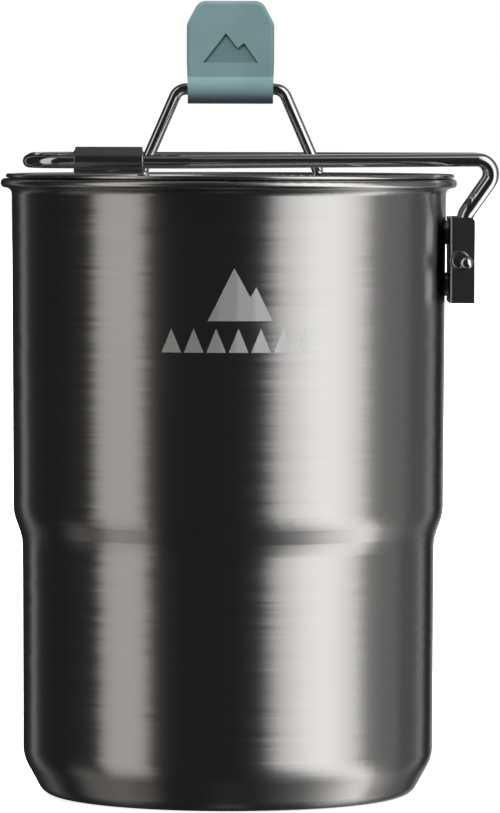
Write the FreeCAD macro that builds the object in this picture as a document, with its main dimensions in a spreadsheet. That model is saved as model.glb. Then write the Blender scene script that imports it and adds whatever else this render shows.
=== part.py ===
"""Cooking pot set: a stepped steel pot with a fold-over wire handle, a lid with a wire bail, and two nesting cups.

Row frame, in millimetres: +Z is up, the origin is the centre of the pot's flat base, and +X points to the handle bracket.
Every driving dimension is a cell of the spreadsheet named Sizes.
"""

import FreeCAD, Part
import math
import os

import Sketcher

SIZES = {
    # Pot, measured on the outside of the sheet.
    "pot_sheet": 0.6,
    "base_radius": 41.55,
    "base_chamfer_radius": 46.25,
    "base_chamfer_height": 8.6,
    "lower_radius": 46.45,
    "shoulder_low": 57.8,
    "shoulder_high": 63.6,
    "upper_radius": 48.49,
    "mouth_radius": 48.98,
    "wall_height": 138.9,
    "base_bend": 4.0,
    "chamfer_bend": 9.0,
    "shoulder_bend": 9.0,
    "bead_reach": 51.4,
    "bead_low": 137.05,
    "bead_neck": 136.6,
    "bead_round": 0.9,
    "bead_fillet": 1.3,
    # Lid, pressed from one sheet with a hemmed edge.
    "lid_sheet": 0.5,
    "lid_hem_radius": 0.45,
    "lid_ring_radius": 50.1,
    "lid_plane": 139.52,
    "lid_well_radius": 47.7,
    "lid_floor_radius": 46.6,
    "lid_floor": 134.4,
    "lid_dome": 0.5,
    "lid_dome_radius": 34.0,
    "lid_bend": 0.9,
    "vent_radius": 1.6,
    "vent_ring_radius": 40.0,
    "vent_step": 11.0,
    "lid_shift": 0.3,
    # Bail: the wire loop that lifts the lid.
    "bail_wire": 2.6,
    "bail_hinge_height": 137.0,
    "bail_foot_span": 21.4,
    "bail_foot_length": 8.4,
    "bail_bar_span": 11.8,
    "bail_bar_height": 159.05,
    "bail_bend": 2.8,
    "bail_foot_bend": 3.2,
    # Straps that hold the bail's feet on the lid.
    "strap_sheet": 0.6,
    "strap_width": 3.0,
    "strap_flange": 4.2,
    "strap_clearance": 0.06,
    # Soft grip on the bail.
    "grip_half_width": 9.85,
    "grip_roll_half_width": 9.6,
    "grip_roll_radius": 3.3,
    "grip_tab": 3.8,
    "grip_top": 178.9,
    "grip_shoulder": 173.7,
    "grip_top_half_width": 7.1,
    "grip_edge": 0.9,
    "grip_corner": 2.8,
    "mark_depth": 0.5,
    "mark_base": 165.0,
    "mark_peak": 171.6,
    "mark_low_peak": 169.4,
    "mark_half_width": 6.2,
    # Handle bracket, a channel open at the top, bottom and outer side.
    "bracket_sheet": 0.8,
    "bracket_standoff": 0.45,
    "bracket_depth": 5.65,
    "bracket_width": 24.0,
    "bracket_height": 19.2,
    "bracket_base": 111.2,
    "bracket_bend": 1.1,
    "bracket_corner": 1.2,
    "ring_radius": 1.85,
    "ring_section": 0.45,
    "ring_shift": 1.45,
    "ring_rise": 0.45,
    "weld_radius": 2.7,
    "weld_low": 115.2,
    "weld_high": 126.9,
    # Handle: one wire, with its two ends turned out as pivot pins.
    "handle_wire": 3.0,
    "pivot_reach": 53.2,
    "pivot_height": 120.3,
    "pivot_clearance": 0.06,
    "leg_span": 9.6,
    "leg_top": 130.8,
    "elbow_reach": 62.0,
    "elbow_height": 143.35,
    "handle_plane": 143.02,
    "loop_twist": 0.25,
    "loop_span": 19.6,
    "loop_start": -10.0,
    "nose_reach": 44.6,
    "nose_bend": 9.0,
    "elbow_bend": 3.25,
    "leg_bend": 4.0,
    "pin_bend": 1.6,
    "pin_end": 13.4,
    # Tubular sleeves on the handle's wires.
    "sleeve_radius": 2.65,
    "sleeve_bore": 1.6,
    "sleeve_length": 15.4,
    "sleeve_left": -34.4,
    "sleeve_offset": 0.8,
    "sleeve_chamfer": 0.25,
    # Nesting cups, each an outer shell and an inner liner with air between.
    "cup_height": 66.0,
    "cup_pitch": 48.4,
    "cup_floor_gap": 0.2,
    "cup_foot_radius": 38.0,
    "cup_body_radius": 40.4,
    "cup_collar_radius": 43.9,
    "cup_collar_height": 43.6,
    "cup_slope": 2.6,
    "cup_shell": 1.1,
    "cup_liner_bore": 37.0,
    "cup_liner_foot": 34.6,
    "cup_mouth_bore": 41.3,
    "cup_ledge": 48.2,
    "cup_liner": 1.1,
    "cup_liner_floor": 3.6,
    "cup_lip": 1.0,
    "cup_bend": 2.5,
}


def make_sheet(doc):
    """The spreadsheet that holds every driving dimension under its own alias."""
    sheet = doc.addObject("Spreadsheet::Sheet", "Sizes")
    for row, (alias, value) in enumerate(SIZES.items(), start=1):
        sheet.set(f"A{row}", alias)
        sheet.set(f"B{row}", str(value))
        sheet.setAlias(f"B{row}", alias)
    doc.recompute()
    return sheet


def value(sheet, expression):
    """The number that an expression in the sheet's aliases gives."""
    found = sheet.evalExpression(expression)
    return float(getattr(found, "Value", found))


def bound(expression):
    """An expression for another object: each word that is an alias becomes a reference to the sheet."""
    words, word = [], ""
    for letter in expression + " ":
        if letter.isalnum() or letter == "_":
            word += letter
            continue
        words.append(f"Sizes.{word}" if word in SIZES else word)
        words.append(letter)
        word = ""
    return "".join(words).strip()


def plane_of(body, role):
    """One of a body's own origin planes."""
    return next(feature for feature in body.Origin.OriginFeatures if feature.Role == role)


def new_sketch(doc, body, name, role, offset=None):
    """A sketch on an origin plane of its body, moved off it by an expression if one is given."""
    sketch = body.newObject("Sketcher::SketchObject", name)
    sketch.AttachmentSupport = [(plane_of(body, role), "")]
    sketch.MapMode = "FlatFace"
    if offset:
        sketch.setExpression("AttachmentOffset.Base.z", bound(offset))
    doc.recompute()
    return sketch


def fix_point(sheet, sketch, geometry, end, across, up):
    """Dimensions one vertex from the sketch's origin, with both dimensions bound to the sheet."""
    for kind, expression, axis in (("DistanceX", across, -2), ("DistanceY", up, -1)):
        size = value(sheet, expression)
        if abs(size) < 1e-9:
            sketch.addConstraint(Sketcher.Constraint("PointOnObject", geometry, end, axis))
            continue
        at = sketch.addConstraint(Sketcher.Constraint(kind, -1, 1, geometry, end, size))
        sketch.setExpression(f"Constraints[{at}]", bound(expression))


def draw_outline(sheet, sketch, points):
    """A closed outline of straight edges. Each point is a pair of expressions."""
    places = [FreeCAD.Vector(value(sheet, a), value(sheet, b), 0) for a, b in points]
    lines = [
        sketch.addGeometry(Part.LineSegment(start, end), False)
        for start, end in zip(places, places[1:] + places[:1])
    ]
    for line, following in zip(lines, lines[1:] + lines[:1]):
        sketch.addConstraint(Sketcher.Constraint("Coincident", line, 2, following, 1))
    for line, (across, up) in zip(lines, points):
        fix_point(sheet, sketch, line, 1, across, up)


def draw_circle(sheet, sketch, across, up, radius):
    """A circle whose centre and radius are expressions."""
    centre = FreeCAD.Vector(value(sheet, across), value(sheet, up), 0)
    circle = sketch.addGeometry(
        Part.Circle(centre, FreeCAD.Vector(0, 0, 1), value(sheet, radius)), False
    )
    fix_point(sheet, sketch, circle, 3, across, up)
    at = sketch.addConstraint(Sketcher.Constraint("Radius", circle, value(sheet, radius)))
    sketch.setExpression(f"Constraints[{at}]", bound(radius))


def new_body(doc, label):
    body = doc.addObject("PartDesign::Body", label)
    body.Label = label
    doc.recompute()
    return body


def revolve(doc, body, name, sketch):
    """A full turn of a sketch about the body's Z axis."""
    feature = body.newObject("PartDesign::Revolution", name)
    feature.Profile = sketch
    feature.ReferenceAxis = (plane_of(body, "Z_Axis"), [""])
    feature.Angle = 360
    doc.recompute()
    return feature


def ring_edges(feature, radius, height, slack=0.02):
    """Names of a feature's circular edges about Z that have this radius at this height."""
    names = []
    for number, edge in enumerate(feature.Shape.Edges, start=1):
        curve = edge.Curve
        if not isinstance(curve, Part.Circle) or abs(curve.Axis.z) < 0.999:
            continue
        if abs(curve.Radius - radius) < slack and abs(curve.Center.z - height) < slack:
            names.append(f"Edge{number}")
    if not names:
        raise RuntimeError(f"{feature.Label}: no ring of radius {radius} at height {height}")
    return names


def round_rings(doc, sheet, body, name, rings, radius):
    """Rounds circular edges of the body's tip. Each ring is a (radius, height) pair of expressions."""
    base = body.Tip
    edges = []
    for ring, height in rings:
        edges += ring_edges(base, value(sheet, ring), value(sheet, height))
    fillet = body.newObject("PartDesign::Fillet", name)
    fillet.Base = (base, edges)
    fillet.Radius = value(sheet, radius)
    fillet.setExpression("Radius", bound(radius))
    doc.recompute()
    return fillet


def hollow(doc, sheet, body, name, top, sheet_size):
    """Turns the body's solid into a shell of one thickness, open at the flat face at the height given."""
    base = body.Tip
    height = value(sheet, top)
    face = next(
        f"Face{number}"
        for number, found in enumerate(base.Shape.Faces, start=1)
        if found.BoundBox.ZMin > height - 1e-4 and found.BoundBox.ZLength < 1e-4
    )
    thickness = body.newObject("PartDesign::Thickness", name)
    thickness.Base = (base, [face])
    thickness.Value = value(sheet, sheet_size)
    thickness.setExpression("Value", bound(sheet_size))
    thickness.Reversed = True
    doc.recompute()
    return thickness


def make_pot(doc, sheet):
    """The pot: one drawn sheet with a chamfered base, a shoulder half way up and a rolled rim."""
    body = new_body(doc, "pot_body")
    sketch = new_sketch(doc, body, "PotOutline", "XZ_Plane")
    draw_outline(
        sheet,
        sketch,
        [
            ("0", "0"),
            ("base_radius", "0"),
            ("base_chamfer_radius", "base_chamfer_height"),
            ("lower_radius", "shoulder_low"),
            ("upper_radius", "shoulder_high"),
            ("mouth_radius", "wall_height"),
            ("0", "wall_height"),
        ],
    )
    revolve(doc, body, "PotBlank", sketch)
    round_rings(doc, sheet, body, "BaseBend", [("base_radius", "0")], "base_bend")
    round_rings(
        doc, sheet, body, "ChamferBend", [("base_chamfer_radius", "base_chamfer_height")], "chamfer_bend"
    )
    shoulder = [("lower_radius", "shoulder_low"), ("upper_radius", "shoulder_high")]
    round_rings(doc, sheet, body, "ShoulderBends", shoulder, "shoulder_bend")
    hollow(doc, sheet, body, "PotShell", "wall_height", "pot_sheet")
    rim = new_sketch(doc, body, "RimBeadSection", "XZ_Plane")
    taper = "(mouth_radius - upper_radius) / (wall_height - shoulder_high)"
    neck = f"mouth_radius - {taper} * (wall_height - bead_neck)"
    draw_outline(
        sheet,
        rim,
        [
            ("mouth_radius - pot_sheet / 2", "bead_neck"),
            (neck, "bead_neck"),
            ("bead_reach", "bead_low"),
            ("bead_reach", "wall_height"),
            ("mouth_radius - pot_sheet / 2", "wall_height"),
        ],
    )
    revolve(doc, body, "RimBead", rim)
    rolled = [
        ("mouth_radius - pot_sheet", "wall_height"),
        ("bead_reach", "wall_height"),
        ("bead_reach", "bead_low"),
    ]
    round_rings(doc, sheet, body, "RimRoll", rolled, "bead_round")
    round_rings(doc, sheet, body, "RimNeck", [(neck, "bead_neck")], "bead_fillet")
    return body


def make_lid(doc, sheet):
    """The lid: a flange that lies on the rim, a well that drops inside the mouth, a raised floor and vents."""
    body = new_body(doc, "lid_panel")
    sketch = new_sketch(doc, body, "LidSection", "XZ_Plane")
    draw_outline(
        sheet,
        sketch,
        [
            ("0", "lid_floor + lid_dome"),
            ("lid_dome_radius - 1", "lid_floor + lid_dome"),
            ("lid_dome_radius", "lid_floor"),
            ("lid_floor_radius", "lid_floor"),
            ("lid_well_radius", "lid_plane - lid_sheet / 2"),
            ("lid_ring_radius", "lid_plane - lid_sheet / 2"),
            ("lid_ring_radius", "lid_plane + lid_sheet / 2"),
            ("lid_well_radius - lid_sheet", "lid_plane + lid_sheet / 2"),
            ("lid_floor_radius - lid_sheet", "lid_floor + lid_sheet"),
            ("lid_dome_radius + 0.1", "lid_floor + lid_sheet"),
            ("lid_dome_radius - 0.9", "lid_floor + lid_dome + lid_sheet"),
            ("0", "lid_floor + lid_dome + lid_sheet"),
        ],
    )
    revolve(doc, body, "LidPressing", sketch)
    bends = [
        ("lid_well_radius - lid_sheet", "lid_plane + lid_sheet / 2"),
        ("lid_floor_radius", "lid_floor"),
    ]
    round_rings(doc, sheet, body, "LidOuterBends", bends, "lid_bend")
    inner = [
        ("lid_well_radius", "lid_plane - lid_sheet / 2"),
        ("lid_floor_radius - lid_sheet", "lid_floor + lid_sheet"),
    ]
    round_rings(doc, sheet, body, "LidInnerBends", inner, "lid_bend - lid_sheet")
    hem = new_sketch(doc, body, "HemSection", "XZ_Plane")
    draw_circle(sheet, hem, "lid_ring_radius", "lid_plane", "lid_hem_radius")
    revolve(doc, body, "Hem", hem)
    vent = new_sketch(doc, body, "VentHole", "XY_Plane", "lid_plane")
    draw_circle(sheet, vent, "0", "vent_ring_radius", "vent_radius")
    before = body.Shape.Volume
    pocket = body.newObject("PartDesign::Pocket", "VentCut")
    pocket.Profile = vent
    pocket.Type = "Length"
    pocket.Length = 10
    doc.recompute()
    pattern = body.newObject("PartDesign::PolarPattern", "Vents")
    pattern.Originals = [pocket]
    pattern.Axis = (plane_of(body, "Z_Axis"), [""])
    pattern.Occurrences = 5
    pattern.Angle = 4 * SIZES["vent_step"]
    pattern.setExpression("Angle", bound("4 * vent_step"))
    body.Tip = pattern
    doc.recompute()
    if body.Shape.Volume > before - 1:
        raise RuntimeError("the lid's vents cut nothing")
    body.setExpression(".Placement.Base.x", bound("lid_shift"))
    doc.recompute()
    return body


def rounded_path(points, radii):
    """A wire through the points, each inner corner rounded with a tangent arc of its own radius."""
    places = [FreeCAD.Vector(*point) for point in points]
    edges, start = [], places[0]
    for before, corner, after, radius in zip(places, places[1:], places[2:], radii):
        back = (before - corner).normalize()
        ahead = (after - corner).normalize()
        half = back.getAngle(ahead) / 2
        reach = radius / math.tan(half)
        first, last = corner + back * reach, corner + ahead * reach
        middle = (back + ahead).normalize()
        centre = corner + middle * (radius / math.sin(half))
        edges.append(Part.LineSegment(start, first).toShape())
        edges.append(Part.Arc(first, centre - middle * radius, last).toShape())
        start = last
    edges.append(Part.LineSegment(start, places[-1]).toShape())
    return Part.Wire(edges)


def bent_wire(points, radii, diameter):
    """A round wire bent along a rounded path. Its volume is compared with its section times its length."""
    path = rounded_path(points, radii)
    heading = FreeCAD.Vector(*points[1]) - FreeCAD.Vector(*points[0])
    section = Part.Wire(Part.makeCircle(diameter / 2, FreeCAD.Vector(*points[0]), heading))
    solid = path.makePipeShell([section], True, False)
    expected = math.pi * diameter**2 / 4 * path.Length
    if not solid.isValid() or abs(solid.Volume / expected - 1) > 0.01:
        raise RuntimeError(f"bent wire volume {solid.Volume:.1f}, expected {expected:.1f}")
    return solid


def add_shape(doc, label, shape):
    feature = doc.addObject("Part::Feature", label)
    feature.Shape = shape
    feature.Label = label
    return feature


def make_bail(doc, sheet):
    """The lid's lifting loop: a trapezoid of wire whose feet turn inwards under the straps."""

    def size(alias):
        return value(sheet, alias)

    hinge, bar = size("bail_hinge_height"), size("bail_bar_height")
    foot, span = size("bail_foot_span"), size("bail_bar_span")
    tip = foot - size("bail_foot_length")
    points = [
        (-tip, 0, hinge),
        (-foot, 0, hinge),
        (-span, 0, bar),
        (span, 0, bar),
        (foot, 0, hinge),
        (tip, 0, hinge),
    ]
    small, large = size("bail_foot_bend"), size("bail_bend")
    wire = bent_wire(points, [small, large, large, small], size("bail_wire"))
    bail = add_shape(doc, "lid_bail", wire)
    bail.setExpression(".Placement.Base.x", bound("lid_shift"))
    doc.recompute()
    return bail


def make_strap(doc, label, side):
    """A strap spot-welded to the lid's floor, arched over one foot of the bail."""
    length = "strap_width"
    near = "bail_foot_span - bail_foot_length + 0.3"
    bore = "bail_wire / 2 + strap_clearance"
    floor = "lid_floor + lid_dome + lid_sheet"

    def place(shape, x, y, z):
        shape.setExpression(".Placement.Base.x", bound(x))
        shape.setExpression(".Placement.Base.y", bound(y))
        shape.setExpression(".Placement.Base.z", bound(z))

    def cylinder(name, radius, x, span):
        shape = doc.addObject("Part::Cylinder", f"{label}_{name}")
        shape.setExpression("Radius", bound(radius))
        shape.setExpression("Height", bound(span))
        shape.Placement.Rotation = FreeCAD.Rotation(FreeCAD.Vector(0, 1, 0), 90)
        place(shape, x, "0", "bail_hinge_height")
        return shape

    def box(name, x, y, z, long, wide, tall):
        shape = doc.addObject("Part::Box", f"{label}_{name}")
        shape.setExpression("Length", bound(long))
        shape.setExpression("Width", bound(wide))
        shape.setExpression("Height", bound(tall))
        place(shape, x, y, z)
        return shape

    start = f"lid_shift + {near}" if side > 0 else f"lid_shift - ({near}) - strap_width"
    outer = f"{bore} + strap_sheet"
    arch = cylinder("arch", outer, start, length)
    rise = f"bail_hinge_height - ({floor})"
    block = box("sides", start, f"-({outer})", floor, length, f"2 * ({outer})", rise)
    flanges = box(
        "flanges", start, "-strap_flange", floor, length, "2 * strap_flange", "strap_sheet"
    )
    body = doc.addObject("Part::MultiFuse", f"{label}_body")
    body.Shapes = [arch, block, flanges]
    tunnel = cylinder("tunnel", bore, f"({start}) - 1", f"{length} + 2")
    slot = box("slot", f"({start}) - 1", f"-({bore})", f"({floor}) - 1", f"{length} + 2",
               f"2 * ({bore})", f"({rise}) + 1")
    trim = box("trim", f"({start}) - 1", "-10", f"({floor}) - 5", f"{length} + 2", "20", "5")
    strap = doc.addObject("Part::Cut", label)
    cutter = doc.addObject("Part::MultiFuse", f"{label}_cutter")
    cutter.Shapes = [tunnel, slot, trim]
    strap.Base, strap.Tool = body, cutter
    strap.Label = label
    doc.recompute()
    return strap


def make_grip(doc, sheet):
    """The soft grip: a tab that stands above the bail's bar and a roll that wraps the bar."""
    body = new_body(doc, "bail_grip")
    tab = new_sketch(doc, body, "TabOutline", "XZ_Plane")
    draw_outline(
        sheet,
        tab,
        [
            ("-grip_roll_half_width", "bail_bar_height"),
            ("grip_roll_half_width", "bail_bar_height"),
            ("grip_half_width", "bail_bar_height + 2 * grip_roll_radius"),
            ("grip_half_width", "grip_shoulder"),
            ("grip_top_half_width", "grip_top"),
            ("-grip_top_half_width", "grip_top"),
            ("-grip_half_width", "grip_shoulder"),
            ("-grip_half_width", "bail_bar_height + 2 * grip_roll_radius"),
        ],
    )
    pad = body.newObject("PartDesign::Pad", "Tab")
    pad.Profile = tab
    pad.Midplane = True
    pad.Length = SIZES["grip_tab"]
    pad.setExpression("Length", bound("grip_tab"))
    doc.recompute()
    upright = [
        f"Edge{number}"
        for number, edge in enumerate(pad.Shape.Edges, start=1)
        if edge.BoundBox.YLength > 1 and edge.BoundBox.ZMin > value(sheet, "grip_shoulder") - 0.1
    ]
    corners = body.newObject("PartDesign::Fillet", "TabCorners")
    corners.Base = (pad, upright)
    corners.Radius = SIZES["grip_corner"]
    corners.setExpression("Radius", bound("grip_corner"))
    doc.recompute()
    top = value(sheet, "bail_bar_height") + 0.5
    rims = [
        f"Edge{number}"
        for number, edge in enumerate(corners.Shape.Edges, start=1)
        if edge.BoundBox.YLength < 1e-3 and edge.BoundBox.ZMax > top
    ]
    soft = body.newObject("PartDesign::Fillet", "TabEdges")
    soft.Base = (corners, rims)
    soft.Radius = SIZES["grip_edge"]
    soft.setExpression("Radius", bound("grip_edge"))
    doc.recompute()
    roll = new_sketch(doc, body, "RollSection", "YZ_Plane")
    draw_circle(sheet, roll, "0", "bail_bar_height", "grip_roll_radius")
    wrap = body.newObject("PartDesign::Pad", "Roll")
    wrap.Profile = roll
    wrap.Midplane = True
    wrap.Length = 2 * SIZES["grip_roll_half_width"]
    wrap.setExpression("Length", bound("2 * grip_roll_half_width"))
    doc.recompute()
    bore = new_sketch(doc, body, "BarTunnel", "YZ_Plane")
    draw_circle(sheet, bore, "0", "bail_bar_height", "bail_wire / 2")
    before = body.Shape.Volume
    tunnel = body.newObject("PartDesign::Pocket", "Tunnel")
    tunnel.Profile = bore
    tunnel.Midplane = True
    tunnel.Length = 40
    doc.recompute()
    if body.Shape.Volume > before - 1:
        raise RuntimeError("the grip's tunnel cuts nothing")
    mark = new_sketch(doc, body, "PeaksMark", "XZ_Plane", "grip_tab / 2 - mark_depth")
    draw_outline(
        sheet,
        mark,
        [
            ("-mark_half_width", "mark_base"),
            ("mark_half_width", "mark_base"),
            ("mark_half_width / 2", "mark_low_peak"),
            ("mark_half_width / 4", "mark_low_peak - 1.1"),
            ("-mark_half_width / 6", "mark_peak"),
        ],
    )
    before = body.Shape.Volume
    press = body.newObject("PartDesign::Pocket", "Mark")
    press.Profile = mark
    press.Reversed = True
    press.Length = 3
    doc.recompute()
    if not 1 < before - body.Shape.Volume < 40:
        raise RuntimeError("the grip's mark has the wrong depth")
    body.setExpression(".Placement.Base.x", bound("lid_shift"))
    doc.recompute()
    return body


def make_bracket(doc, sheet):
    """The handle bracket: a channel welded to the wall, with a raised ring and a pin hole on each cheek."""

    def box(name, sizes, base):
        shape = doc.addObject("Part::Box", name)
        for side, expression in zip(("Length", "Width", "Height"), sizes):
            shape.setExpression(side, bound(expression))
        for axis, expression in zip("xyz", base):
            shape.setExpression(f".Placement.Base.{axis}", bound(expression))
        return shape

    def cylinder(name, radius, height, base, turn):
        shape = doc.addObject("Part::Cylinder", name)
        shape.setExpression("Radius", bound(radius))
        shape.setExpression("Height", bound(height))
        shape.Placement.Rotation = turn
        for axis, expression in zip("xyz", base):
            shape.setExpression(f".Placement.Base.{axis}", bound(expression))
        return shape

    along_y = FreeCAD.Rotation(FreeCAD.Vector(1, 0, 0), -90)
    along_x = FreeCAD.Rotation(FreeCAD.Vector(0, 1, 0), 90)
    back = "mouth_radius + bracket_standoff"
    half = "bracket_width / 2"
    channel = doc.addObject("Part::Cut", "BracketChannel")
    channel.Base = box(
        "BracketBlock",
        ("bracket_depth", "bracket_width", "bracket_height"),
        (back, f"-{half}", "bracket_base"),
    )
    channel.Tool = box(
        "BracketInside",
        ("bracket_depth", "bracket_width - 2 * bracket_sheet", "bracket_height + 2"),
        (f"{back} + bracket_sheet", f"-{half} + bracket_sheet", "bracket_base - 1"),
    )
    doc.recompute()
    bend, sheet_size = value(sheet, "bracket_bend"), value(sheet, "bracket_sheet")
    corner, rounds = value(sheet, "bracket_corner"), []
    inner = value(sheet, f"{back} + bracket_sheet")
    outer = value(sheet, f"{back} + bracket_depth")
    top = value(sheet, "bracket_base + bracket_height")
    for number, edge in enumerate(channel.Shape.Edges, start=1):
        box_of = edge.BoundBox
        if box_of.ZLength > 10 and abs(box_of.XMin - value(sheet, back)) < 0.01:
            rounds.append((number, bend, bend))
        elif box_of.ZLength > 10 and abs(box_of.XMin - inner) < 0.01:
            rounds.append((number, bend - sheet_size, bend - sheet_size))
        elif box_of.ZMin > top - 0.01 and box_of.XMin > outer - 0.01:
            rounds.append((number, corner, corner))
    folded = doc.addObject("Part::Fillet", "BracketFolded")
    folded.Base = channel
    folded.Edges = rounds
    rings = []
    for name, side in (("RingFront", "-"), ("RingRear", "")):
        ring = doc.addObject("Part::Torus", name)
        ring.setExpression("Radius1", bound("ring_radius"))
        ring.setExpression("Radius2", bound("ring_section"))
        ring.Placement.Rotation = along_y
        ring.setExpression(".Placement.Base.x", bound("pivot_reach - ring_shift"))
        ring.setExpression(".Placement.Base.y", bound(f"{side}({half})"))
        ring.setExpression(".Placement.Base.z", bound("pivot_height + ring_rise"))
        rings.append(ring)
    reach = "bracket_standoff + bracket_sheet / 2 + 0.15"
    welds = [
        cylinder(
            f"Weld{name}", "weld_radius", reach, ("mouth_radius - 0.15", "0", f"weld_{name}"), along_x
        )
        for name in ("low", "high")
    ]
    solid = doc.addObject("Part::MultiFuse", "BracketSolid")
    solid.Shapes = [folded, *rings, *welds]
    pin_radius = "handle_wire / 2 + pivot_clearance"
    pin_start = ("pivot_reach", f"-({half}) - 3", "pivot_height")
    holes = cylinder("PinHoles", pin_radius, "bracket_width + 6", pin_start, along_y)
    bracket = doc.addObject("Part::Cut", "handle_bracket")
    bracket.Base, bracket.Tool = solid, holes
    bracket.Label = "handle_bracket"
    doc.recompute()
    return bracket


def make_handle(doc, sheet):
    """The pot's handle: pins through the bracket, legs, elbows, and a slightly twisted loop over the lid."""

    def size(alias):
        return value(sheet, alias)

    pivot, height = size("pivot_reach"), size("pivot_height")
    leg, plane, end = size("leg_span"), size("handle_plane"), size("pin_end")
    loop, nose = size("loop_span"), -size("nose_reach")
    halves = []
    for side in (-1, 1):
        level = plane + side * size("loop_twist")
        halves.append(
            [
                (pivot, side * end, height),
                (pivot, side * leg, height),
                (pivot, side * leg, size("leg_top")),
                (size("elbow_reach"), side * leg, size("elbow_height")),
                (size("loop_start"), side * loop, level),
                (nose, side * loop, level),
            ]
        )
    points = halves[0] + halves[1][::-1]
    bends = [size("pin_bend"), size("leg_bend"), size("elbow_bend"), 20.0, size("nose_bend")]
    wire = bent_wire(points, bends + bends[::-1], size("handle_wire"))
    domes = [
        Part.makeSphere(size("handle_wire") / 2, FreeCAD.Vector(pivot, side * end, height))
        for side in (-1, 1)
    ]
    return add_shape(doc, "handle_wire", wire.multiFuse(domes).removeSplitter())


def make_sleeve(doc, sheet, label, side):
    """A short tube threaded on one of the handle's two wires, with chamfered ends."""
    along_x = FreeCAD.Rotation(FreeCAD.Vector(0, 1, 0), 90)
    left = "sleeve_left" if side < 0 else "sleeve_left - sleeve_offset"
    tube = doc.addObject("Part::Cut", f"{label}_tube")
    parts = []
    for name, radius in (("outside", "sleeve_radius"), ("bore", "sleeve_bore")):
        shape = doc.addObject("Part::Cylinder", f"{label}_{name}")
        shape.setExpression("Radius", bound(radius))
        shape.setExpression("Height", bound("sleeve_length"))
        shape.Placement.Rotation = along_x
        shape.setExpression(".Placement.Base.x", bound(left))
        shape.setExpression(".Placement.Base.y", bound(f"{side} * loop_span"))
        shape.setExpression(".Placement.Base.z", bound(f"handle_plane + {side} * loop_twist"))
        parts.append(shape)
    tube.Base, tube.Tool = parts
    doc.recompute()
    size = value(sheet, "sleeve_chamfer")
    sleeve = doc.addObject("Part::Fillet", label)
    sleeve.Base = tube
    sleeve.Edges = [
        (number, size, size)
        for number, edge in enumerate(tube.Shape.Edges, start=1)
        if isinstance(edge.Curve, Part.Circle)
    ]
    sleeve.Label = label
    doc.recompute()
    return sleeve


def make_cup_shell(doc, sheet, label, floor):
    """A cup's outer shell: a narrow body below a wide collar, open at the top."""
    body = new_body(doc, label)
    sketch = new_sketch(doc, body, "ShellSection", "XZ_Plane")
    rise = f"({floor})"
    top = f"{rise} + cup_height - cup_lip"
    draw_outline(
        sheet,
        sketch,
        [
            ("0", rise),
            ("cup_foot_radius", rise),
            ("cup_body_radius", f"{rise} + cup_collar_height"),
            ("cup_collar_radius - 0.4", f"{rise} + cup_collar_height + cup_slope"),
            ("cup_collar_radius", top),
            ("0", top),
        ],
    )
    revolve(doc, body, "ShellBlank", sketch)
    rings = [("cup_foot_radius", rise)]
    round_rings(doc, sheet, body, "FootBend", rings, "cup_bend")
    hollow(doc, sheet, body, "Shell", top, "cup_shell")
    return body


def make_cup_liner(doc, sheet, label, floor):
    """A cup's inner liner: it hangs from a lip on the shell and carries the ledge that the next cup rests on."""
    body = new_body(doc, label)
    sketch = new_sketch(doc, body, "LinerSection", "XZ_Plane")
    rise = f"({floor})"
    top = f"{rise} + cup_height"
    draw_outline(
        sheet,
        sketch,
        [
            ("0", f"{rise} + cup_liner_floor - cup_liner"),
            ("cup_liner_foot + cup_liner", f"{rise} + cup_liner_floor - cup_liner"),
            ("cup_liner_bore + cup_liner", f"{rise} + cup_ledge - cup_liner"),
            ("cup_mouth_bore - 0.2 + cup_liner", f"{rise} + cup_ledge - cup_liner + 1.4"),
            ("cup_mouth_bore + cup_liner", f"{top} - cup_lip"),
            ("cup_collar_radius", f"{top} - cup_lip"),
            ("cup_collar_radius", top),
            ("cup_mouth_bore", top),
            ("cup_mouth_bore - 0.2", f"{rise} + cup_ledge + 1.4"),
            ("cup_liner_bore", f"{rise} + cup_ledge"),
            ("cup_liner_foot", f"{rise} + cup_liner_floor"),
            ("0", f"{rise} + cup_liner_floor"),
        ],
    )
    revolve(doc, body, "LinerSolid", sketch)
    rings = [("cup_collar_radius", top), ("cup_mouth_bore", top)]
    round_rings(doc, sheet, body, "LipRounds", rings, "cup_lip * 0.4")
    rings = [("cup_liner_foot", f"{rise} + cup_liner_floor")]
    round_rings(doc, sheet, body, "LinerFloorBend", rings, "cup_bend")
    return body


def build():
    doc = FreeCAD.newDocument("CookingPotSet")
    sheet = make_sheet(doc)
    lower = "pot_sheet + cup_floor_gap"
    upper = f"{lower} + cup_pitch"
    parts = [
        make_pot(doc, sheet),
        make_bracket(doc, sheet),
        make_handle(doc, sheet),
        make_sleeve(doc, sheet, "handle_sleeve_front", -1),
        make_sleeve(doc, sheet, "handle_sleeve_rear", 1),
        make_lid(doc, sheet),
        make_bail(doc, sheet),
        make_strap(doc, "bail_strap_left", -1),
        make_strap(doc, "bail_strap_right", 1),
        make_grip(doc, sheet),
        make_cup_shell(doc, sheet, "lower_cup_shell", lower),
        make_cup_liner(doc, sheet, "lower_cup_liner", lower),
        make_cup_shell(doc, sheet, "upper_cup_shell", upper),
        make_cup_liner(doc, sheet, "upper_cup_liner", upper),
    ]
    doc.recompute()
    return doc, parts


def export(doc, parts):
    """Writes each sub-part to its own STEP file, once every object of the document is sound."""
    for found in doc.Objects:
        if "Invalid" in found.State or "Error" in found.State:
            raise RuntimeError(f"{found.Label} did not recompute: {found.State}")
    os.makedirs("parts", exist_ok=True)
    for part in parts:
        shape = part.Shape
        if shape.isNull() or not shape.isValid() or not shape.Solids:
            raise RuntimeError(f"{part.Label} has no valid solid")
        shape.exportStep(f"parts/{part.Label}.step")
        print(f"{part.Label}: {len(shape.Solids)} solid, {shape.Volume / 1000:.2f} cm3")


document, sub_parts = build()
export(document, sub_parts)
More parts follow.
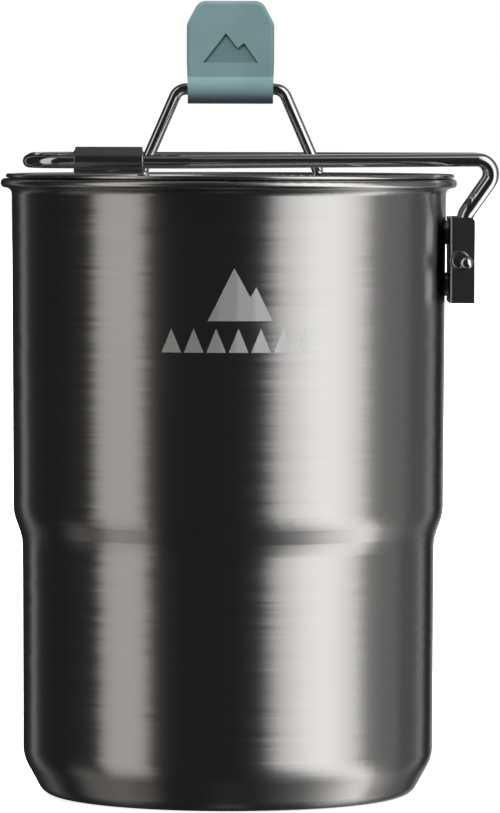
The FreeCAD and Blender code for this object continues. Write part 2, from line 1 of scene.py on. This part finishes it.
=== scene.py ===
"""Looks for the cooking pot set: its materials, an etched mark on the wall, studio light and the camera."""

import math

import bmesh
import bpy
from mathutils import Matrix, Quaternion, Vector
from mathutils.bvhtree import BVHTree


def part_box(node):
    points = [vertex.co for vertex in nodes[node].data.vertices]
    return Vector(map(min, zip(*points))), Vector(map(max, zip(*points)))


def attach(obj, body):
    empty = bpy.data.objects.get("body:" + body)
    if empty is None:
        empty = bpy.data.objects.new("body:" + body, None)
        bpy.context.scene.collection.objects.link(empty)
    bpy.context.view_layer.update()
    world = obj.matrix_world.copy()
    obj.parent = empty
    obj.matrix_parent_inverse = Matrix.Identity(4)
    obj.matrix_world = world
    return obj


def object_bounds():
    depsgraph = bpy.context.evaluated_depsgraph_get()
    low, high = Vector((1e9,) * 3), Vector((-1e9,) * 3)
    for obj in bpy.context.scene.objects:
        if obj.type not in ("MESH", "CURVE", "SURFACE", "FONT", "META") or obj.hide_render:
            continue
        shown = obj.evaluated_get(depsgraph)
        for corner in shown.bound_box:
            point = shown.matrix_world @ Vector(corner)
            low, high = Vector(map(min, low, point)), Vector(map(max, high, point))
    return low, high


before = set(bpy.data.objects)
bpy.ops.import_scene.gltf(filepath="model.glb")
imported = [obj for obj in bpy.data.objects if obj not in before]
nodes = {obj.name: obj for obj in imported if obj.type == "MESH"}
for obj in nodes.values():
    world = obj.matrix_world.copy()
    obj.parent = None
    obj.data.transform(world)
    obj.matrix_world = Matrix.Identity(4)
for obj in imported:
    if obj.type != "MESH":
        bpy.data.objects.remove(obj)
cad_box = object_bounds()

# Driving places, in metres, all read from the frame.
POT_LOW, POT_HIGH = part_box("pot_body")
POT_RADIUS = POT_HIGH.y
POT_HEIGHT = POT_HIGH.z
HEM_LOW, HEM_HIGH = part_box("lid_panel")
HEM_MIDDLE = (HEM_LOW.x + HEM_HIGH.x) / 2
GRIP_LOW, GRIP_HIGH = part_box("bail_grip")
GRIP_ROLL_TOP = GRIP_LOW.z + 2 * GRIP_HIGH.y
TAB_LIMIT = GRIP_HIGH.y * 0.7
TOP = GRIP_HIGH.z
MIDDLE_X = (cad_box[0].x + cad_box[1].x) / 2

# The rim's bead and the lid's hem are rolls of these radii. The smooth ring over the hem is a little larger.
BEAD_ROUND = 0.00092
HEM_ROUND = 0.00045
HEM_SCALE = 1.012

# The view: nearly level, from far away, a little above the rim.
CAMERA_DISTANCE = 1.43
CAMERA_HEIGHT = 0.153
CAMERA_LENS = 280.7
CAMERA_ROLL = math.radians(0.12)
SENSOR_WIDTH = 36
AIM_X = MIDDLE_X + 0.0003
AIM_Z = 0.08747

# Softboxes: first and last azimuth, lowest and highest elevation (degrees), brightness, soft edge (degrees),
# warmth, and lean: how far the box moves round towards +X below the horizon, in degrees per square degree.
SOFTBOXES = (
    (-190, 190, -95, 95, 0.02, 1, 0.0, 0.0),
    (-145, -137, -30, 58, 0.27, 3, 0.0, 0.0),
    (-76, -46, -38, 58, 0.66, 6, 0.045, 0.0),
    (23, 77.5, -42, 58, 1.12, 8, 0.012, 0.024),
    (36, 66, -42, 58, 0.5, 18, 0.012, 0.024),
    (78, 112, -30, 58, 0.2, 4, 0.01, 0.0),
    (112, 131, -30, 58, 0.1, 4, 0.0, 0.0),
    (133, 143, -30, 58, 0.3, 4, 0.0, 0.0),
    (163, 190, -30, 58, 0.42, 6, 0.0, 0.0),
    (90, 140, -60, -32, 0.68, 16, 0.02, 0.0),
    (-112, -92, -56, -30, 0.3, 8, 0.03, 0.0),
    (-190, 190, -110, -87, 0.45, 1, 0.02, 0.0),
    (-190, 190, 62, 110, 0.1, 1, 0.0, 0.0),
)
ELEVATION_EDGE = 12

TEAL = (0.121, 0.198, 0.203)
# The darker teal of the pressed figure's floor on the grip is painted shade in the recess.
RECESS_SHADE_TEAL = (0.082, 0.143, 0.147)
CUP_TEAL = (0.12, 0.2, 0.2)
LINER_GREY = (0.33, 0.34, 0.34)

# Soft lights for matt surfaces: name, direction from the pot, power (watts) and size (metres).
FILLS = (
    ("fill_above", (-0.25, -0.62, 0.82), 580, 2.7),
    ("fill_right", (1.0, -0.35, 0.3), 150, 2.2),
    ("fill_behind", (-0.3, 1.0, 0.35), 260, 2.6),
)
FILL_DISTANCE = 6.0

FLOOR_RADIUS = 11
FLOOR_GAP = 0.0002

# The wall mark, in millimetres from the foot of its large peaks, which stands MARK_HEIGHT metres up the wall.
MARK_HEIGHT = 0.1083
LARGE_PEAKS = [(-4.4, 0), (9.8, 0), (6.2, 7.4), (4.9, 5.2), (1.4, 11.6)]
SMALL_PEAK = [(0, -6.9), (4.3, -6.9), (2.15, -1.6)]
ROW_START = -14.5
ROW_PITCH = 4.9
ROW_COUNT = 7
# The mark is cut into strips this wide, in metres, to bend round the wall, and lies this far off it.
STRIP = 0.0005
STRIPS = range(-30, 42)
MARK_LIFT = 0.00003

# A face is level, or looks straight to the front, when its normal has more than this along that way.
LEVEL = 0.9
FRONTAL = 0.99
# Heights, in metres: of the band under the rim's top that the inner steel leaves out, and of the base's zone.
RIM_BAND = 0.003
BASE_ZONE = 0.01
# The pressed figure's floor lies more than this behind the tab's front; its darker teal is painted shade in
# the recess.
PRESS_MARGIN = 0.0002


class Nodes:
    """A small builder for material node trees."""

    def __init__(self, tree):
        self.tree = tree

    def add(self, kind, inputs=None, **settings):
        node = self.tree.nodes.new(kind)
        for name, setting in settings.items():
            setattr(node, name, setting)
        for name, source in (inputs or {}).items():
            self.set(node, name, source)
        return node

    def set(self, node, name, source):
        """Links a socket to an input, or sets the input's own value."""
        if isinstance(source, bpy.types.NodeSocket):
            self.tree.links.new(source, node.inputs[name])
        else:
            node.inputs[name].default_value = source

    def math(self, operation, first, second=0.0):
        return self.add("ShaderNodeMath", {0: first, 1: second}, operation=operation).outputs[0]

    def vector(self, operation, first, second):
        return self.add("ShaderNodeVectorMath", {0: first, 1: second}, operation=operation).outputs[0]

    def scaled(self, vector, scale):
        return self.add("ShaderNodeVectorMath", {0: vector, "Scale": scale}, operation="SCALE").outputs[0]

    def unit(self, vector):
        return self.add("ShaderNodeVectorMath", {0: vector}, operation="NORMALIZE").outputs[0]

    def total(self, vectors):
        """The sum of several vectors."""
        added = vectors[0]
        for vector in vectors[1:]:
            added = self.vector("ADD", added, vector)
        return added

    def place(self):
        """The point's place on its own object."""
        return self.add("ShaderNodeTexCoord").outputs["Object"]

    def noise(self, vector, scale, detail=3.0, roughness=0.5):
        inputs = {"Vector": vector, "Scale": scale, "Detail": detail, "Roughness": roughness}
        return self.add("ShaderNodeTexNoise", inputs).outputs["Fac"]

    def span(self, value, low, high, to_low=0.0, to_high=1.0):
        inputs = {"Value": value, "From Min": low, "From Max": high, "To Min": to_low, "To Max": to_high}
        return self.add("ShaderNodeMapRange", inputs, clamp=True).outputs[0]

    def mix(self, factor, first, second):
        inputs = {"Factor": factor, 6: first, 7: second}
        return self.add("ShaderNodeMix", inputs, data_type="RGBA").outputs[2]

    def bump(self, height, distance, normal=None):
        inputs = {"Height": height, "Distance": distance, "Strength": 1.0}
        if normal is not None:
            inputs["Normal"] = normal
        return self.add("ShaderNodeBump", inputs).outputs[0]

    def radial_tangent(self):
        """The direction round the Z axis, along which the steel is brushed."""
        return self.add("ShaderNodeTangent", direction_type="RADIAL", axis="Z").outputs[0]


def new_material(name, metallic=0.0):
    """A material with an empty principled shader, and the builder for its tree."""
    made = bpy.data.materials.new(name)
    made.use_nodes = True
    made.node_tree.nodes.clear()
    build = Nodes(made.node_tree)
    shader = build.add("ShaderNodeBsdfPrincipled")
    out = build.add("ShaderNodeOutputMaterial")
    made.node_tree.links.new(shader.outputs[0], out.inputs[0])
    build.set(shader, "Metallic", metallic)
    return made, build, shader


def grey(level, warm=0.0):
    return (level * (1 + warm), level, level * (1 - warm), 1.0)


def brushed(name, level, roughness, grain, bump, anisotropy=0.0, sway=0.0, along="Z"):
    """Brushed steel. The brushing runs in rings about Z, or in straight lines along X.

    Sway turns the surface a little about Z from one brushed line to the next, which frays the edges of
    reflections.
    """
    made, build, shader = new_material(name, metallic=1.0)
    place = build.place()
    stretch = (40.0, 40.0, grain) if along == "Z" else (60.0, grain, grain)
    fine = build.noise(build.vector("MULTIPLY", place, stretch), 1.0, 4.0, 0.65)
    coarse = build.noise(build.vector("MULTIPLY", place, tuple(s * 0.22 for s in stretch)), 1.0, 2.0)
    cloud = build.noise(place, 26.0, 3.0)
    lines = build.math("ADD", build.math("MULTIPLY", fine, 0.6), build.math("MULTIPLY", coarse, 0.4))
    colour = build.mix(build.span(lines, 0.3, 0.7), grey(level * 0.95, 0.01), grey(level * 1.05, 0.01))
    colour = build.mix(build.span(cloud, 0.35, 0.7, 0.0, 0.25), colour, grey(level * 0.9))
    build.set(shader, "Base Color", colour)
    build.set(shader, "Roughness", build.span(lines, 0.25, 0.75, roughness * 0.94, roughness * 1.06))
    if anisotropy:
        build.set(shader, "Anisotropic", anisotropy)
        build.set(shader, "Anisotropic Rotation", 0.25)
        build.set(shader, "Tangent", build.radial_tangent())
    normal = None
    if sway:
        upright = build.add("ShaderNodeNewGeometry").outputs["Normal"]
        around = build.vector("CROSS_PRODUCT", (0, 0, 1), upright)
        turn = build.math("MULTIPLY", build.math("SUBTRACT", lines, 0.5), sway)
        normal = build.unit(build.total([upright, build.scaled(around, turn)]))
    build.set(shader, "Normal", build.bump(lines, bump, normal))
    return made


def turned(name, level, roughness, grain, anisotropy):
    """Steel with rings of brushing on a level face: the grain follows the distance from the axis."""
    made, build, shader = new_material(name, metallic=1.0)
    place = build.place()
    split = build.add("ShaderNodeSeparateXYZ", {"Vector": place})
    flat = build.add("ShaderNodeCombineXYZ", {"X": split.outputs[0], "Y": split.outputs[1]})
    reach = build.add("ShaderNodeVectorMath", {0: flat.outputs[0]}, operation="LENGTH").outputs["Value"]
    ring = build.add("ShaderNodeCombineXYZ", {"X": reach, "Y": split.outputs[2]}).outputs[0]
    lines = build.noise(build.vector("MULTIPLY", ring, (grain, grain, grain)), 1.0, 4.0, 0.6)
    cloud = build.noise(place, 30.0, 3.0)
    colour = build.mix(build.span(lines, 0.3, 0.7), grey(level * 0.9), grey(level * 1.08))
    colour = build.mix(build.span(cloud, 0.4, 0.7, 0.0, 0.2), colour, grey(level * 0.88))
    build.set(shader, "Base Color", colour)
    build.set(shader, "Roughness", build.span(lines, 0.25, 0.75, roughness * 0.85, roughness * 1.2))
    build.set(shader, "Anisotropic", anisotropy)
    build.set(shader, "Tangent", build.radial_tangent())
    build.set(shader, "Normal", build.bump(lines, 0.000004))
    return made


def polished(name, level, roughness):
    """Drawn and polished wire: bright, with a faint waviness and rare small scuffs."""
    made, build, shader = new_material(name, metallic=1.0)
    place = build.place()
    wave = build.noise(place, 420.0, 2.0)
    scuff = build.noise(build.vector("MULTIPLY", place, (300.0, 1400.0, 1400.0)), 1.0, 5.0, 0.7)
    build.set(shader, "Base Color", build.mix(build.span(scuff, 0.62, 0.75), grey(level), grey(level * 0.8)))
    build.set(shader, "Roughness", build.span(scuff, 0.5, 0.75, roughness, roughness * 1.7))
    build.set(shader, "Normal", build.bump(wave, 0.000001))
    return made


def rolled(name, level, roughness, edge, ring, height):
    """A rolled edge of a turned piece, shaded as the true round of the roll, a ring about the node's Z axis.

    Edge is the node, ring is the radius of the roll's middle line and height is where that line lies.
    """
    made, build, shader = new_material(name, metallic=1.0)
    place = build.place()
    low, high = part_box(edge)
    centre = Vector(((low.x + high.x) / 2, (low.y + high.y) / 2, height))
    offset = build.vector("SUBTRACT", place, tuple(nodes[edge].matrix_world.inverted() @ centre))
    outward = build.unit(build.vector("MULTIPLY", offset, (1, 1, 0)))
    normal = build.add(
        "ShaderNodeVectorTransform",
        {"Vector": build.unit(build.total([offset, build.scaled(outward, -ring)]))},
        vector_type="NORMAL",
        convert_from="OBJECT",
        convert_to="WORLD",
    )
    worn = build.noise(build.vector("MULTIPLY", place, (90.0, 90.0, 1500.0)), 1.0, 4.0, 0.6)
    colour = build.mix(build.span(worn, 0.3, 0.7), grey(level * 0.96, 0.01), grey(level, 0.01))
    build.set(shader, "Base Color", colour)
    build.set(shader, "Roughness", build.span(worn, 0.3, 0.7, roughness * 0.94, roughness * 1.06))
    build.set(shader, "Normal", normal.outputs[0])
    return made


def etched(name, level, roughness):
    """Steel frosted by etching: paler and more matt than the brushed steel round it, with an even grain."""
    made, build, shader = new_material(name, metallic=1.0)
    frost = build.noise(build.place(), 5200.0, 4.0, 0.7)
    build.set(shader, "Base Color", build.mix(build.span(frost, 0.3, 0.7), grey(level * 0.94), grey(level)))
    build.set(shader, "Roughness", build.span(frost, 0.25, 0.75, roughness * 0.9, roughness * 1.1))
    build.set(shader, "Normal", build.bump(frost, 0.000004))
    return made


def moulded(name, colour, roughness, bump, sheen=0.0):
    """Moulded silicone or plastic: matt, with a fine skin and slight colour drift."""
    made, build, shader = new_material(name)
    place = build.place()
    skin = build.noise(place, 3200.0, 3.0)
    drift = build.noise(place, 90.0, 3.0)
    dark = tuple(c * 0.9 for c in colour) + (1.0,)
    light = tuple(c * 1.08 for c in colour) + (1.0,)
    build.set(shader, "Base Color", build.mix(build.span(drift, 0.3, 0.7), dark, light))
    build.set(shader, "Roughness", build.span(skin, 0.3, 0.7, roughness * 0.92, roughness * 1.08))
    build.set(shader, "Specular IOR Level", 0.4)
    if sheen:
        build.set(shader, "Sheen Weight", sheen)
        build.set(shader, "Sheen Roughness", 0.5)
    build.set(shader, "Normal", build.bump(skin, bump))
    return made


def paint(material, *names):
    """Gives each node this material alone."""
    for name in names:
        slots = nodes[name].data.materials
        slots.clear()
        slots.append(material)


def second_material(name, material, chosen):
    """Gives a further material to the faces of a node that the test picks by centre and normal."""
    mesh = nodes[name].data
    mesh.materials.append(material)
    for face in mesh.polygons:
        if chosen(face.center, face.normal):
            face.material_index = len(mesh.materials) - 1


def inside_wall(centre, normal):
    inward = normal.x * centre.x + normal.y * centre.y < 0
    return inward and abs(normal.z) < LEVEL and centre.z < POT_HEIGHT - RIM_BAND


def pot_floor(centre, normal):
    return abs(normal.z) > LEVEL and centre.z < BASE_ZONE


def rim_bead(centre, normal):
    outer = math.hypot(centre.x, centre.y) > POT_RADIUS - 1.02 * BEAD_ROUND
    return outer and centre.z > POT_HEIGHT - 2.1 * BEAD_ROUND


def tab_front():
    """How far forward the front of the grip's tab lies."""
    faces = nodes["bail_grip"].data.polygons
    return min(face.center.y for face in faces if face.normal.y < -FRONTAL and face.center.y > -TAB_LIMIT)


def paint_all():
    """Gives every CAD node its materials."""
    wall_steel = brushed("wall_steel", 0.53, 0.3, grain=3400, bump=2e-6, anisotropy=0.9, sway=0.085)
    inner_steel = brushed("inner_steel", 0.55, 0.32, grain=3600, bump=2e-6, anisotropy=0.7)
    base_steel = turned("base_steel", 0.5, 0.3, grain=3000, anisotropy=0.5)
    rim_steel = rolled("rim_steel", 0.62, 0.24, "pot_body", POT_RADIUS - BEAD_ROUND, POT_HEIGHT - BEAD_ROUND)
    lid_steel = turned("lid_steel", 0.56, 0.24, grain=2600, anisotropy=0.2)
    wire_steel = polished("wire_steel", 0.7, 0.06)
    sleeve_steel = brushed("sleeve_steel", 0.4, 0.24, grain=2400, bump=8e-6, along="X")
    bracket_steel = brushed("bracket_steel", 0.36, 0.3, grain=2600, bump=6e-6, along="X")
    strap_steel = brushed("strap_steel", 0.5, 0.25, grain=2600, bump=5e-6, along="X")
    grip_silicone = moulded("grip_silicone", TEAL, 0.52, bump=1e-5, sheen=0.25)
    # The pressed figure's floor is painted a darker teal: painted shade in the recess.
    pressed_shade_silicone = moulded("pressed_shade_silicone", RECESS_SHADE_TEAL, 0.6, bump=1e-5, sheen=0.1)
    cup_plastic = moulded("cup_plastic", CUP_TEAL, 0.42, bump=8e-6)
    cup_lining = moulded("cup_lining", LINER_GREY, 0.34, bump=6e-6)

    paint(wall_steel, "pot_body")
    second_material("pot_body", inner_steel, inside_wall)
    second_material("pot_body", base_steel, pot_floor)
    second_material("pot_body", rim_steel, rim_bead)
    paint(lid_steel, "lid_panel")
    paint(wire_steel, "handle_wire", "lid_bail")
    paint(sleeve_steel, "handle_sleeve_front", "handle_sleeve_rear")
    paint(bracket_steel, "handle_bracket")
    paint(strap_steel, "bail_strap_left", "bail_strap_right")
    paint(grip_silicone, "bail_grip")
    front = tab_front()
    second_material(
        "bail_grip",
        pressed_shade_silicone,
        lambda c, n: n.y < -FRONTAL and front + PRESS_MARGIN < c.y < 0 and c.z > GRIP_ROLL_TOP,
    )
    paint(cup_plastic, "lower_cup_shell", "upper_cup_shell")
    paint(cup_lining, "lower_cup_liner", "upper_cup_liner")


def new_piece(name, form, material, body):
    """Turns a finished bmesh into a smooth piece that rides on a body."""
    mesh = bpy.data.meshes.new(name)
    form.to_mesh(mesh)
    form.free()
    mesh.materials.append(material)
    for face in mesh.polygons:
        face.use_smooth = True
    made = bpy.data.objects.new(name, mesh)
    bpy.context.scene.collection.objects.link(made)
    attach(made, body)


def make_wall_mark():
    """An etched mark on the front of the wall: two peaks above a row of small ones."""
    wall = nodes["pot_body"].data
    tree = BVHTree.FromPolygons([v.co for v in wall.vertices], [tuple(f.vertices) for f in wall.polygons])
    form = bmesh.new()
    starts = [ROW_START + ROW_PITCH * step for step in range(ROW_COUNT)]
    outlines = [LARGE_PEAKS] + [[(start + x, z) for x, z in SMALL_PEAK] for start in starts]
    for outline in outlines:
        form.faces.new([form.verts.new((x / 1000, 0, MARK_HEIGHT + z / 1000)) for x, z in outline])
    for step in STRIPS:
        bmesh.ops.bisect_plane(
            form,
            geom=form.verts[:] + form.edges[:] + form.faces[:],
            plane_co=(step * STRIP, 0, 0),
            plane_no=(1, 0, 0),
        )
    bmesh.ops.triangulate(form, faces=form.faces[:])
    for vertex in form.verts:
        start = Vector((vertex.co.x, -2 * POT_RADIUS, vertex.co.z))
        hit = tree.ray_cast(start, Vector((0, 1, 0)))[0]
        vertex.co = hit + Vector((hit.x, hit.y, 0)).normalized() * MARK_LIFT
    new_piece("pot_mark", form, etched("etched_steel", 0.95, 0.6), "pot")


def make_hem():
    """A smooth ring over the hem of the lid's edge, with more sides than the lid's own mesh."""
    ring, height = HEM_HIGH.y - HEM_ROUND, HEM_HIGH.z - HEM_ROUND
    centre = Vector((HEM_MIDDLE, 0, height))
    sides, steps = 24, 320
    form = bmesh.new()
    rows = []
    for step in range(steps):
        turn = 2 * math.pi * step / steps
        outward = Vector((math.cos(turn), math.sin(turn), 0))
        row = []
        for side in range(sides):
            angle = 2 * math.pi * side / sides
            reach = HEM_SCALE * HEM_ROUND * math.cos(angle)
            rise = HEM_SCALE * HEM_ROUND * math.sin(angle)
            row.append(form.verts.new(centre + outward * (ring + reach) + Vector((0, 0, rise))))
        rows.append(row)
    for row, following in zip(rows, rows[1:] + rows[:1]):
        for side in range(sides):
            ahead = (side + 1) % sides
            form.faces.new((row[side], following[side], following[ahead], row[ahead]))
    new_piece("lid_hem", form, rolled("hem_steel", 0.62, 0.16, "lid_panel", ring, height), "lid")


def make_floor():
    """A pale floor just under the pot, clear when seen from below."""
    mesh = bpy.data.meshes.new("floor")
    form = bmesh.new()
    bmesh.ops.create_circle(form, cap_ends=True, segments=96, radius=FLOOR_RADIUS)
    form.to_mesh(mesh)
    form.free()
    floor = bpy.data.objects.new("floor", mesh)
    floor.location.z = POT_LOW.z - FLOOR_GAP
    pale, build, shader = new_material("pale_floor")
    build.set(shader, "Base Color", (0.9, 0.9, 0.9, 1))
    build.set(shader, "Roughness", 0.9)
    build.set(shader, "Specular IOR Level", 0.1)
    build.set(shader, "Emission Color", (1, 1, 1, 1))
    build.set(shader, "Emission Strength", 0.8)
    back = build.add("ShaderNodeNewGeometry").outputs["Backfacing"]
    clear = build.add("ShaderNodeBsdfTransparent")
    blend = build.add("ShaderNodeMixShader", {0: back, 1: shader.outputs[0], 2: clear.outputs[0]})
    pale.node_tree.links.new(blend.outputs[0], pale.node_tree.get_output_node("ALL").inputs[0])
    mesh.materials.append(pale)
    floor.visible_glossy = False
    floor.visible_diffuse = False
    bpy.context.scene.collection.objects.link(floor)


def make_world():
    """Tall softboxes in a ring round the pot, with dark gaps between them for the steel to mirror.

    Azimuth 0 is in front, on the camera's side, and grows towards +X. The camera itself sees white paper
    all round.
    """
    world = bpy.data.worlds.new("studio")
    bpy.context.scene.world = world
    world.use_nodes = True
    tree = world.node_tree
    build = Nodes(tree)
    way = build.add("ShaderNodeSeparateXYZ", {"Vector": build.add("ShaderNodeTexCoord").outputs["Generated"]})
    to_degrees = 180 / math.pi
    forward = build.math("MULTIPLY", way.outputs[1], -1.0)
    azimuth = build.math("MULTIPLY", build.math("ARCTAN2", way.outputs[0], forward), to_degrees)
    elevation = build.math("MULTIPLY", build.math("ARCSINE", way.outputs[2]), to_degrees)
    below = build.math("MINIMUM", elevation, 0.0)
    below = build.math("MULTIPLY", below, below)
    boxes = []
    for start, end, low, high, level, edge, warm, lean in SOFTBOXES:
        leaned = build.math("SUBTRACT", azimuth, build.math("MULTIPLY", below, lean)) if lean else azimuth
        shine = level
        for angle, first, last, soft in (
            (leaned, start, end, edge / 2),
            (elevation, low, high, ELEVATION_EDGE / 2),
        ):
            rise = build.span(angle, first - soft, first + soft)
            fall = build.span(angle, last - soft, last + soft, 1.0, 0.0)
            shine = build.math("MULTIPLY", shine, build.math("MULTIPLY", rise, fall))
        boxes.append(build.scaled((1 + warm, 1.0, 1 - warm), shine))
    studio = tree.nodes["Background"]
    build.set(studio, "Color", build.total(boxes))
    paper = build.add("ShaderNodeBackground", {"Color": (1, 1, 1, 1)})
    seen = build.add("ShaderNodeLightPath").outputs["Is Camera Ray"]
    blend = build.add("ShaderNodeMixShader", {0: seen, 1: studio.outputs[0], 2: paper.outputs[0]})
    tree.links.new(blend.outputs[0], tree.nodes["World Output"].inputs[0])


def make_fills():
    """Broad soft lights for matt surfaces alone: from above the camera, from the right and from behind."""
    for name, direction, power, size in FILLS:
        light = bpy.data.lights.new(name, "AREA")
        light.energy = power
        light.size = size
        made = bpy.data.objects.new(name, light)
        way = Vector(direction).normalized()
        made.location = Vector((0, 0, TOP)) + way * FILL_DISTANCE
        made.rotation_mode = "QUATERNION"
        made.rotation_quaternion = (-way).to_track_quat("-Z", "Y")
        made.visible_glossy = False
        made.visible_camera = False
        bpy.context.scene.collection.objects.link(made)


def make_camera():
    """The photograph's view."""
    data = bpy.data.cameras.new("camera")
    data.lens = CAMERA_LENS
    data.sensor_width = SENSOR_WIDTH
    data.clip_end = 100
    camera = bpy.data.objects.new("camera", data)
    camera.location = (AIM_X, -CAMERA_DISTANCE, CAMERA_HEIGHT)
    aim = Vector((AIM_X, 0, AIM_Z)) - camera.location
    camera.rotation_mode = "QUATERNION"
    camera.rotation_quaternion = aim.to_track_quat("-Z", "Y") @ Quaternion((0, 0, 1), CAMERA_ROLL)
    bpy.context.scene.collection.objects.link(camera)
    bpy.context.scene.camera = camera


paint_all()
make_wall_mark()
make_hem()
make_floor()
make_world()
make_fills()
make_camera()
bpy.context.scene.view_settings.view_transform = "Standard"
